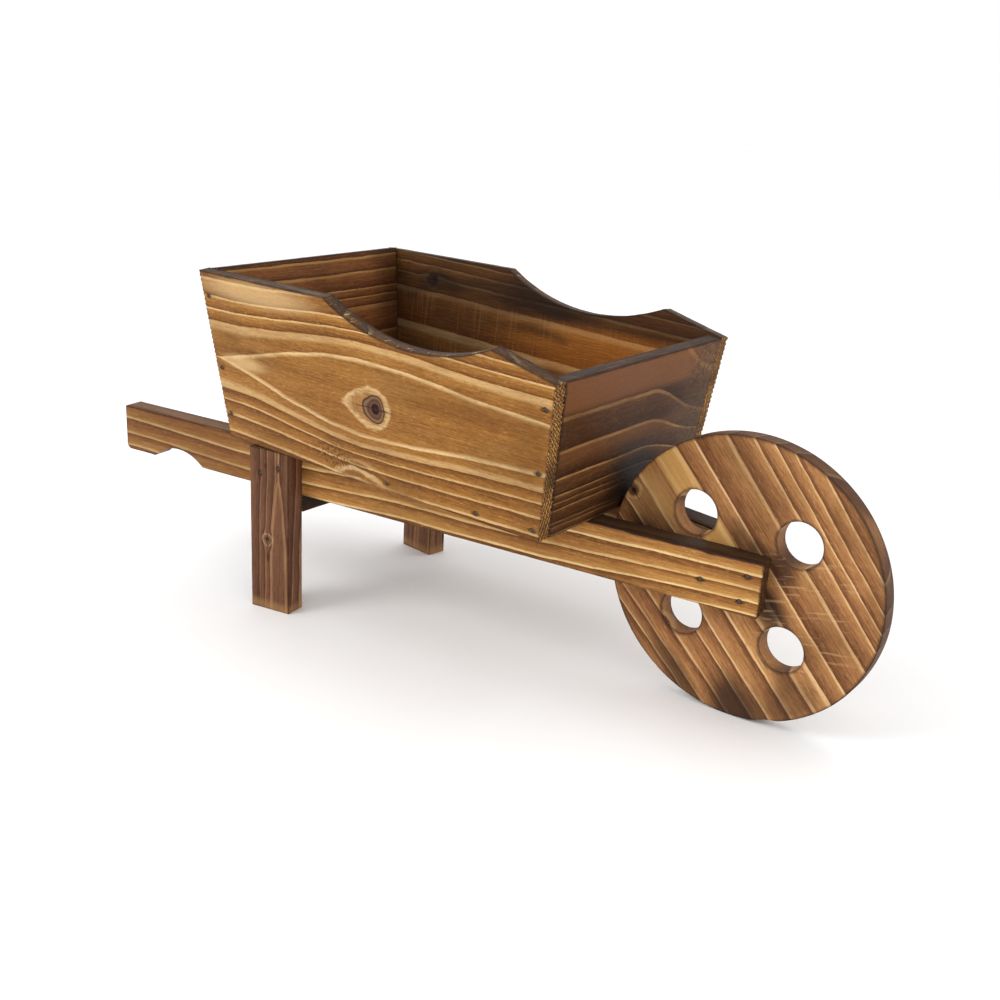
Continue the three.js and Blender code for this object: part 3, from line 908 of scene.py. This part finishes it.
def build_sides():
    outline = side_outline()
    teeth = (1, len(outline) - 1)
    for side, word in SIDES:
        low, high = sorted((0.0, side * PANEL))
        bm = prism(rough(outline, 1.8, 0.6, 3.0 + side, teeth, 0.8), low, high)
        o = made_solid(f"side_board_{word}", bm, side_axes(side), [], 0.8)
        nails = pockets(side_axes(side), (-30, -5, low), (350, 150, high))
        if side < 0:
            wood = burnt_wood(
                "fir of the right side",
                2.0, GOLDEN, 66.0, [24, 34, 46, 60], [30, 40, 50, 64],
                side_arris(low, high),
                lens=[
                    (-30, 0), (-4, 0), (40, 10), (80, 20), (120, 27),
                    (150, 29), (200, 27), (250, 22), (330, 17),
                ],
                knots=[Knot(165, 60.5, 10.6, 17.5, 1.9)],
                layers=near_panel_layers, slant=0.35, burn=0.28, mottle=1.1, nails=nails,
            )
        else:
            wood = burnt_wood(
                "fir of the left side",
                5.0, GOLDEN, 50.0, [14, 27, 37, 46], [22, 53, 66, 76, 84],
                side_arris(low, high),
                warp=lambda s: s.y + s.x * 0.034,
                knots=[Knot(38, 113, 6.0, 10.0, 1.3, 0.25), Knot(236, 40, 7.0, 13.0, 1.5, 0.7)],
                layers=far_panel_layers, slant=0.0, nails=nails,
            )
        ends = end_grain(f"sawn ends of the {word} side", 8.0 + side, GOLDEN, 60.0, side * -34.0, burn=0.75)
        dress(o, wood, ends)
        piece(o, "cart", f"side_panel_{word}")


def build_ends():
    for word, x, height, lean, low, high in (
        ("front", BOX_LENGTH, FRONT_HEIGHT, FRONT_FLARE, -PANEL, 0.0),
        ("rear", 0.0, REAR_HEIGHT, -REAR_FLARE, 0.0, PANEL),
    ):
        outline = end_outline(height, lean)
        bm = prism(rough(outline, 3.2, 0.25, x), low, high)
        o = made_solid(f"end_board_{word}", bm, end_axes(x, lean), [], 0.8)
        if word == "front":
            wood = burnt_wood(
                "fir of the front end",
                11.0, UMBER, -12.0, [20], [15, 20, 23, 33, 37.5, 43, 55.5, 76, 99, 149],
                board_arris(outline, low, high),
                warp=lambda s: s.y * (1.0 + 0.5 * s.x.rise(12, 104)),
                layers=front_panel_layers, slant=0.1, wobble=1.6, crest=0.84,
            )
        else:
            wood = burnt_wood(
                "fir of the rear end",
                14.0, BRONZE, -20.0, [20], [38, 55, 72, 86, 110, 118, 125, 140, 153],
                board_arris(outline, low, high),
                layers=rear_panel_layers, slant=0.1, wobble=2.0,
                knots=[Knot(-38, 74, 6.0, 11.0, 1.4, 0.5)],
            )
        dress(o, wood, end_grain(f"sawn ends of the {word} end", 21.0 + x, UMBER))
        piece(o, "cart", f"end_panel_{word}")


def build_floor():
    rear = PANEL * math.cos(REAR_FLARE) + GAP
    front = BOX_LENGTH - PANEL * math.cos(FRONT_FLARE) - GAP
    for side, word in SIDES:
        y0, y1 = sorted((side * FLOOR_SLOT / 2, side * (ROOM - GAP)))
        outline = box_outline(rear, front, y0, y1)
        bm = prism(rough(outline, 4.0, 0.2, 5.0 * side), GAP, GAP + PANEL)
        o = made_solid(f"floor_plank_{word}", bm, FLOOR_AXES, [], 0.7)
        wood = burnt_wood(
            f"fir of the floor, {word}",
            24.0 + side, GOLDEN, side * 30.0, [9, 17, 31, 42, 50], [12, 24, 33, 47],
            board_arris(outline, GAP, GAP + PANEL),
            slant=0.2, burn=0.5,
            knots=[Knot(90 + 50 * side, side * 52.0, 6.0, 12.0, 1.6, 0.6)],
        )
        dress(o, wood, end_grain(f"sawn ends of the floor, {word}", 30.0 + side, TAWNY))
        piece(o, "cart", f"floor_board_{word}")


def shaft_grain(s):
    """The grain closes up under the bar's top at the front and dips near the legs."""
    return s.y * (1.0 + 0.27 * s.x.rise(280, 445)) + 5.0 * s.spot(20, -20, 150, 900, 1.0)


def build_shafts():
    outline = shaft_outline()
    box = box_outline(SHAFT_REAR, SHAFT_FRONT, -BAR_WIDTH, 0.0)
    for side, word in SIDES:
        low, high = sorted((0.0, side * BAR_THICKNESS))
        bm = prism(rough(outline, 5.0, 0.3, 7.0 * side), low, high)
        if side > 0:
            plane_off(bm, (SHAFT_FRONT - LEFT_SHAFT_SHORTER, 0, 0), (1, 0, 0))
        matrix = shaft_axes(side)
        back = matrix.inverted() @ Matrix.Translation(AXLE)
        plane_off(bm, back @ Vector((0, side * WHEEL_SLOT, 0)), back.to_3x3() @ Vector((0, -side, 0)))
        seat = [back @ Vector((0, side * reach, 0)) for reach in (2.0, AXLE_SEAT_END)]
        o = made_solid(f"shaft_bar_{word}", bm, matrix, [(*seat, AXLE_SEAT_RADIUS, 32)], 1.1)
        wood = burnt_wood(
            f"fir of the {word} shaft",
            33.0 + 4 * side, HONEY, 30.0, [28, 41.5, 54.5, 66], [10, 20],
            board_arris(box, low, high),
            warp=shaft_grain, layers=shaft_layers(side), slant=0.55 * -side, burn=0.25, wobble=1.2,
            arris=1.8, nails=pockets(matrix, (300, -BAR_WIDTH + 2, low), (SHAFT_FRONT, -2, high)),
        )
        ends = end_grain(f"sawn ends of the {word} shaft", 40.0 + side, UMBER, -60.0, 20.0, 2.4, 0.8)
        dress(o, wood, ends)
        piece(o, "cart", f"shaft_{word}")


def build_legs():
    """The legs, made too long and cut off level with the floor."""
    spare, foot = 3.0, 2.0
    for side, word in SIDES:
        low, high = sorted((side * GAP, side * (GAP + BAR_THICKNESS)))
        matrix = leg_axes(side)
        outline = box_outline(-LEG_DROP - spare, 0.0, LEG_REAR, LEG_REAR + BAR_WIDTH)
        bm = prism(rough(outline, 5.0, 0.25, 9.0 * side), low, high)
        up = matrix.to_3x3() @ Vector((1, 0, 0))
        for v in bm.verts:
            if v.co.x < -LEG_DROP + foot:
                v.co.x -= (matrix @ v.co).z / up.z
        o = made_solid(f"leg_post_{word}", bm, matrix, [], 1.5)
        wood = burnt_wood(
            f"fir of the {word} leg",
            44.0 + 3 * side, RUSSET, 54.0, [11, 18, 26, 33], [9, 16],
            board_arris(box_outline(-LEG_DROP, 0.0, LEG_REAR, LEG_REAR + BAR_WIDTH), low, high),
            lens=[(-145, 9), (-80, 8), (-50, 5.5), (-30, 2.5), (-24, 0), (5, 0)],
            knots=[Knot(-51, 36, 4.2, 7.5, 1.2, 0.3) if side > 0 else Knot(-77, 42.5, 3.7, 6.5, 1.0, 0.3)],
            arris=1.4, layers=leg_layers, slant=0.8 * side, wobble=1.4, burn=0.35,
            nails=pockets(matrix, (-60, LEG_REAR, low), (0, LEG_REAR + BAR_WIDTH, high)),
        )
        dress(o, wood, end_grain(f"sawn ends of the {word} leg", 50.0 + side, UMBER, 20.0, -10.0, 2.2))
        piece(o, "cart", f"leg_{word}")


def build_crossbar():
    front = (LEG_REAR + BAR_WIDTH) * math.cos(TOE_IN)
    half = SHAFT_OUTER_Y - front * math.tan(TOE_IN) - GAP
    low, high = BAR_WIDTH + GAP, BAR_WIDTH + GAP + CROSSBAR_THICKNESS
    outline = box_outline(-half, half, front - BAR_WIDTH, front)
    bm = prism(rough(outline, 5.0, 0.25, 13.0), low, high)
    o = made_solid("crossbar_slat", bm, CROSSBAR_AXES, [], 0.9)
    wood = burnt_wood(
        "charred fir of the crossbar",
        55.0, UMBER, 20.0, [20], [9, 15, 24, 31, 38],
        board_arris(outline, low, high),
        layers=crossbar_layers, wobble=1.4,
    )
    dress(o, wood, end_grain("sawn ends of the crossbar", 56.0, UMBER, burn=0.8))
    piece(o, "cart", "leg_crossbar")


def wheel_outline():
    """A circle with a slightly uneven rim and one chip low on it."""
    steps, chip_angle, chip_width, chip_depth = 224, math.radians(287), 0.06, 1.2
    outline = []
    for i in range(steps):
        t = 2 * math.pi * i / steps
        facet = noise.noise(Vector((math.cos(t) * 3.2, math.sin(t) * 3.2, 4.0))) * 0.5 + 0.5
        chip = chip_depth * math.exp(-(((t - chip_angle) / chip_width) ** 2))
        reach = WHEEL_RADIUS - 0.35 * facet - chip
        outline.append((reach * math.cos(t), reach * math.sin(t)))
    return outline


def build_wheel():
    bm = prism(wheel_outline(), -WHEEL_THICKNESS / 2, WHEEL_THICKNESS / 2)
    drill = Vector((0, 0, WHEEL_THICKNESS / 2 + 2.0))
    cuts = [(-drill, drill, WHEEL_BORE, 40)]
    for angle in HOLE_ANGLES:
        middle = Vector((math.cos(angle), math.sin(angle), 0)) * HOLE_PITCH_RADIUS
        cuts.append((middle - drill, middle + drill, HOLE_RADIUS, 72))
    o = made_solid("wheel_disc", bm, WHEEL_AXES, cuts, 1.0)
    wood = burnt_wood(
        "fir of the wheel",
        60.0, TAWNY, 0.0, [6, 24, 41, 53, 70, 84, 93], [14, 28, 50, 65, 75, 84, 95],
        wheel_arris,
        warp=lambda s: s.y * (1.0 + 0.0009 * s.x),
        knots=[Knot(-90, -34, 4.4, 8.0, 1.2, 0.4)],
        layers=wheel_layers, slant=0.25, burn=0.4, wobble=1.8, turn=GRAIN_ANGLE, arris=2.6,
        mottle=0.9, crest=0.86,
    )
    o.data.materials.append(wood)
    piece(o, "wheel", "wheel")


def nail_body(length, turn):
    """A nail along +Z with its domed head sunk below z 0."""
    sides = 16
    profile = [
        (HEAD_RADIUS * 0.6, HEAD_DEPTH - 0.06),
        (HEAD_RADIUS * 0.93, HEAD_DEPTH + 0.1),
        (HEAD_RADIUS, HEAD_DEPTH + 0.3),
        (HEAD_RADIUS * 0.95, HEAD_DEPTH + 0.6),
        (NAIL_SHANK, HEAD_DEPTH + 0.9),
        (NAIL_SHANK, length - NAIL_POINT),
        (0.15, length),
    ]
    bm = bmesh.new()
    rings = []
    for radius, depth in profile:
        angles = [turn + 2 * math.pi * k / sides for k in range(sides)]
        rings.append([bm.verts.new((radius * math.cos(a), radius * math.sin(a), depth)) for a in angles])
    top = bm.verts.new((0, 0, HEAD_DEPTH - 0.12))
    for k in range(sides):
        n = (k + 1) % sides
        bm.faces.new((top, rings[0][k], rings[0][n]))
        for a, b in zip(rings, rings[1:]):
            bm.faces.new((a[k], b[k], b[n], a[n]))
    bm.faces.new(rings[-1])
    return bm


def build_nails():
    steel = nail_steel()
    chance = random.Random(7)
    for name, (head, tip) in NAILS.items():
        bm = nail_body((tip - head).length, chance.uniform(0, math.pi))
        way = (tip - head).to_track_quat("Z", "Y").to_matrix().to_4x4()
        o = new_object(f"sunk_{name}", new_mesh(name, bm), Matrix.Translation(head) @ way)
        for face in o.data.polygons:
            face.use_smooth = True
        o.data.set_sharp_from_angle(angle=math.radians(40))
        o.data.materials.append(steel)
        piece(o, "cart", name)


def build_splinters():
    """Pale slivers that the saw raised along the inner arris of the right side's dip."""
    chance = random.Random(21)
    reach = SCALLOP_RADIUS + 0.2
    bm = bmesh.new()
    for _ in range(16):
        t = -math.pi / 2 + chance.uniform(-0.52, 0.34)
        foot = Vector((*SCALLOP_CENTRE, 0)) + Vector((math.cos(t), math.sin(t), 0)) * reach
        foot.z = -chance.uniform(0.3, 5.0)
        way = Vector((1.0, chance.uniform(-0.1, 0.35), chance.uniform(-0.5, 0.5))).normalized()
        side = way.cross(Vector((0, 1, 0))).normalized()
        length, width = chance.uniform(2.5, 6.5), chance.uniform(0.25, 0.55)
        rings = []
        for k in range(5):
            u = k / 4
            middle = foot + way * length * u + Vector((0, 0.9 * u * u, 0))
            w = width * (1.0 - u * 0.9)
            corners = (side, Vector((0, 0.5, 0)), -side)
            rings.append([bm.verts.new(middle + corner * w) for corner in corners])
        for a, b in zip(rings, rings[1:]):
            for k in range(3):
                n = (k + 1) % 3
                bm.faces.new((a[k], b[k], b[n], a[n]))
        bm.faces.new(rings[0])
        bm.faces.new(rings[-1][::-1])
    o = new_object("raised_splinters", new_mesh("raised_splinters", bm), side_axes(-1))
    s = Surface("bare fir of the splinters", 90)
    fibre = s.noise(0.3, 1.5, 1.5, 2.0)
    base = s.ramp(fibre, [(0.3, colour("B89468")), (0.7, PALE)])
    o.data.materials.append(s.finish(base, 0.6 + (fibre - 0.5) * 0.1, fibre, 0.1))
    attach(o, "cart")


def finish_hidden():
    """The dowel and its packings keep their CAD meshes, with a wood of their own."""
    s = Surface("plain fir of the hidden pieces", 70)
    fibre = s.noise(0.5, 0.06, 0.5, 3.0)
    base = s.ramp(fibre, [(0.2, TAWNY[0]), (0.5, TAWNY[1]), (0.8, TAWNY[2])])
    wood = s.finish(base, 0.6 + (fibre - 0.5) * 0.2, fibre, 0.2)
    for name in ("axle", "hub_wedge_left", "hub_wedge_right"):
        node = frame["nodes"][name]
        node.data.materials.clear()
        node.data.materials.append(wood)
        wear = node.modifiers.new("worn arrises", "BEVEL")
        wear.width, wear.segments = 0.3 * MM, 2
        wear.limit_method, wear.angle_limit = "ANGLE", math.radians(40)


# ---------------- stage, light and camera, in metres

LIT_POINT = Vector((0.0, 0.0, 0.1))
CAMERA_PLACE = (0.54043, -0.67958, 0.39784)
CAMERA_TURN = (71.8148, -0.8273, 40.0711)
CAMERA_LENS = 41.83
CAMERA_SHIFT = (0.0391, -0.0106)


def build_stage():
    """A pale floor that fades to pure white far away, so that no horizon shows."""
    bm = bmesh.new()
    bmesh.ops.create_grid(bm, x_segments=8, y_segments=8, size=14000)
    o = new_object("pale_floor", new_mesh("pale_floor", bm), Matrix.Identity(4))
    s = Surface("pale floor", 80)
    grain = s.noise(0.02, 0.02, 0.02, 2.0)
    base = s.ramp(grain, [(0.0, (0.93, 0.93, 0.93, 1)), (1.0, (0.95, 0.95, 0.95, 1))])
    away = (hypot(s.x, s.y) * MM).rise(0.6, 3.0)
    base = s.layer(base, away, (1.0, 1.0, 1.0, 1.0))
    o.data.materials.append(s.finish(base, 0.85 + grain * 0.05, grain, 0.02))


def area_light(name, place, size, power):
    """A round light that looks at the middle of the box."""
    data = bpy.data.lights.new(name, "AREA")
    data.shape, data.size, data.energy = "DISK", size, power
    o = linked(name, data)
    o.location = place
    o.rotation_mode = "QUATERNION"
    o.rotation_quaternion = (LIT_POINT - Vector(place)).to_track_quat("-Z", "Y")


def build_light():
    world = bpy.data.worlds.new("white studio")
    bpy.context.scene.world = world
    world.use_nodes = True
    back = world.node_tree.nodes["Background"]
    back.inputs["Color"].default_value = (1.0, 1.0, 1.0, 1.0)
    back.inputs["Strength"].default_value = 1.0
    area_light("key", (-0.9, -1.9, 1.9), 1.3, 22)
    area_light("fill", (1.9, -0.9, 1.2), 1.4, 5)
    area_light("top", (0.3, 0.6, 2.4), 1.6, 8)
    bpy.context.scene.view_settings.view_transform = "Standard"


def build_camera():
    data = bpy.data.cameras.new("camera")
    data.lens = CAMERA_LENS
    data.shift_x, data.shift_y = CAMERA_SHIFT
    data.clip_start, data.clip_end = 0.02, 60.0
    o = linked("camera", data)
    o.location = CAMERA_PLACE
    o.rotation_euler = [math.radians(angle) for angle in CAMERA_TURN]
    bpy.context.scene.camera = o


build_sides()
build_ends()
build_floor()
build_shafts()
build_legs()
build_crossbar()
build_wheel()
build_nails()
build_splinters()
finish_hidden()
build_stage()
build_light()
build_camera()
